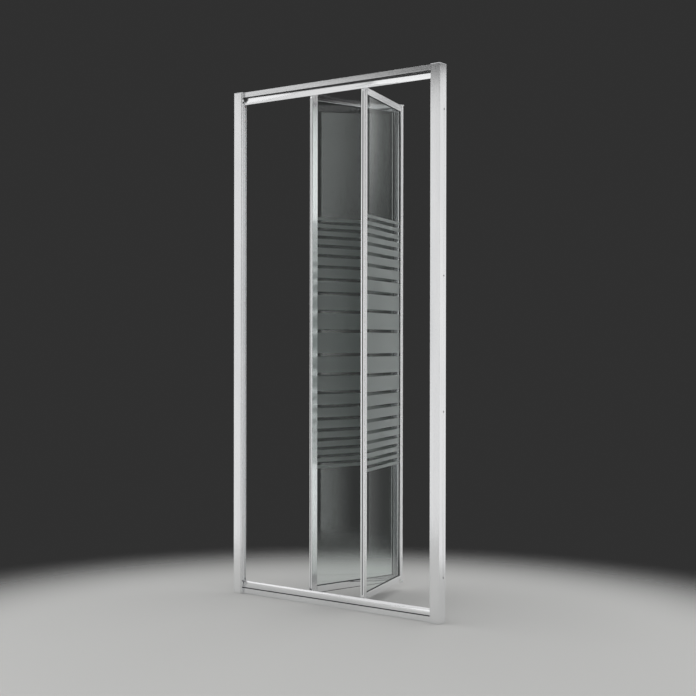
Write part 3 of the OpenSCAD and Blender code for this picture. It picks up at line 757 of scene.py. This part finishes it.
softBoxes = {
    # they reach below the floor, which is clear out there, to light the door's foot too
    "distance": 4.2, "width": 2.2, "height": 4.2, "middle": 0.6,
    "doorMiddle": (0, 0.15),      # x and y that they stand around
    # direction in degrees from +X towards +Y, seen from the door's middle, and brightness
    "row": ((-156, 0.95), (-126, 0.74), (-95, 0.95), (-52, 0.65), (52, 0.8), (178, 0.6)),
}
shadedBoxes = {
    # softboxes that a pane mirrors towards the camera. Each shade is a dim patch: where it starts,
    # is full, stays full and ends, across the box and up it, in metres, and how much light it takes
    # away. The slope tilts the shades' upper and lower edges
    "left": {"direction": 23, "bright": 1.2, "low": -1.5, "high": 2.57, "slope": 0.095, "shades": (
        ((-0.172, -0.166, -0.130, -0.124), (-0.8, -0.78, 2.58, 2.6), 0.95),
        ((-0.09, 0.15, 0.42, 0.44), (1.4, 2.3, 2.58, 2.6), 0.5),
        ((-0.13, 0.12, 0.42, 0.44), (-0.8, -0.75, 1.4, 2.3), 0.96))},
    "right": {"direction": 86, "bright": 0.85, "low": -1.5, "high": 2.7, "slope": 0.0, "shades": (
        ((-0.300, -0.290, -0.240, -0.232), (-0.8, -0.78, 2.62, 2.64), 0.9),
        ((-0.30, -0.12, -0.035, -0.028), (-0.8, -0.78, 2.62, 2.64), 0.86),
        ((-0.30, -0.21, -0.035, -0.028), (-0.8, -0.78, 1.7, 2.4), 0.7))},
}
topBox = {"place": (0.2, -0.4, 4.3), "target": (0.2, -0.1, 0), "size": 4.5, "bright": 0.93}


def addLamp(name, place, target, width, height, bright):
    # bright is the lamp's own radiance, so 1 looks white in a mirror
    data = bpy.data.lights.new(name, "AREA")
    data.shape = "RECTANGLE"
    data.size = width
    data.size_y = height
    data.energy = bright * math.pi * width * height
    lamp = bpy.data.objects.new(name, data)
    scene.collection.objects.link(lamp)
    lamp.location = place
    lamp.rotation_euler = (Vector(target) - Vector(place)).to_track_quat("-Z", "Y").to_euler()
    lamp.visible_camera = False
    lamp.visible_transmission = False
    return lamp


def addLampAround(name, degrees, middle, height, bright):
    a, reach = math.radians(degrees), softBoxes["distance"]
    x, y = softBoxes["doorMiddle"]
    place = (x + reach * math.cos(a), y + reach * math.sin(a), middle)
    lamp = addLamp(name, place, (x, y, middle), softBoxes["width"], height, bright)
    return lamp, Vector(place)


def addSoftBoxes(boxes):
    for count, (degrees, bright) in enumerate(boxes["row"]):
        addLampAround(f"softbox{count}", degrees, boxes["middle"], boxes["height"], bright)


def smoothStep(tree, value, low, high, rising):
    remap = tree.nodes.new("ShaderNodeMapRange")
    remap.interpolation_type = "SMOOTHSTEP"
    remap.inputs["From Min"].default_value, remap.inputs["From Max"].default_value = low, high
    remap.inputs["To Min"].default_value = 0 if rising else 1
    remap.inputs["To Max"].default_value = 1 if rising else 0
    tree.links.new(value, remap.inputs["Value"])
    return remap.outputs["Result"]


def maths(tree, operation, *values):
    node = tree.nodes.new("ShaderNodeMath")
    node.operation = operation
    for socket, value in zip(node.inputs, values):
        if isinstance(value, (int, float)):
            socket.default_value = value
        else:
            tree.links.new(value, socket)
    return node.outputs["Value"]


def along(tree, position, direction, offset):
    # how far a point of the lamp lies in a direction, less the offset
    dot = tree.nodes.new("ShaderNodeVectorMath")
    dot.operation = "DOT_PRODUCT"
    tree.links.new(position, dot.inputs[0])
    dot.inputs[1].default_value = direction
    return maths(tree, "SUBTRACT", dot.outputs["Value"], offset)


def addShadedBox(name, box):
    a, slope = math.radians(box["direction"]), box["slope"]
    lamp, place = addLampAround(name, box["direction"], (box["low"] + box["high"]) / 2,
                                box["high"] - box["low"], box["bright"])
    lamp.visible_transmission = True       # the right pane stands in the left one's way
    lamp.data.use_nodes = True
    tree = lamp.data.node_tree
    emission = next(n for n in tree.nodes if n.type == "EMISSION")
    position = tree.nodes.new("ShaderNodeNewGeometry").outputs["Position"]
    sideways = Vector((-math.sin(a), math.cos(a), 0))
    offset = sideways.dot(place)
    aside = along(tree, position, sideways, offset)
    height = along(tree, position, sideways * slope + Vector((0, 0, 1)), slope * offset)
    light = 1.0
    for across, up, depth in box["shades"]:
        patch = smoothStep(tree, aside, *across[:2], True)
        for value, limits, rising in (
                (aside, across[2:], False), (height, up[:2], True), (height, up[2:], False)):
            patch = maths(tree, "MULTIPLY", patch, smoothStep(tree, value, *limits, rising))
        kept = maths(tree, "SUBTRACT", 1.0, maths(tree, "MULTIPLY", patch, depth))
        light = maths(tree, "MULTIPLY", light, kept)
    tree.links.new(light, emission.inputs["Strength"])


def makeWorld(look):
    world = bpy.data.worlds.new("studio")
    scene.world = world
    world.use_nodes = True
    tree = world.node_tree
    tree.nodes.clear()
    output = tree.nodes.new("ShaderNodeOutputWorld")
    seen = tree.nodes.new("ShaderNodeBackground")
    seen.inputs["Color"].default_value = (*[look["backdrop"]] * 3, 1)
    light = tree.nodes.new("ShaderNodeBackground")
    light.inputs["Color"].default_value = (*[look["ambient"]] * 3, 1)
    path = tree.nodes.new("ShaderNodeLightPath")
    mix = tree.nodes.new("ShaderNodeMixShader")
    tree.links.new(path.outputs["Is Diffuse Ray"], mix.inputs["Fac"])
    tree.links.new(seen.outputs["Background"], mix.inputs[1])
    tree.links.new(light.outputs["Background"], mix.inputs[2])
    tree.links.new(mix.outputs["Shader"], output.inputs["Surface"])


makeFloor(studio)
makeWorld(studio)
addSoftBoxes(softBoxes)
for name, box in shadedBoxes.items():
    addShadedBox(f"shaded_{name}", box)
addLamp("topbox", topBox["place"], topBox["target"], topBox["size"], topBox["size"],
        topBox["bright"])
print("floor and lamps set")
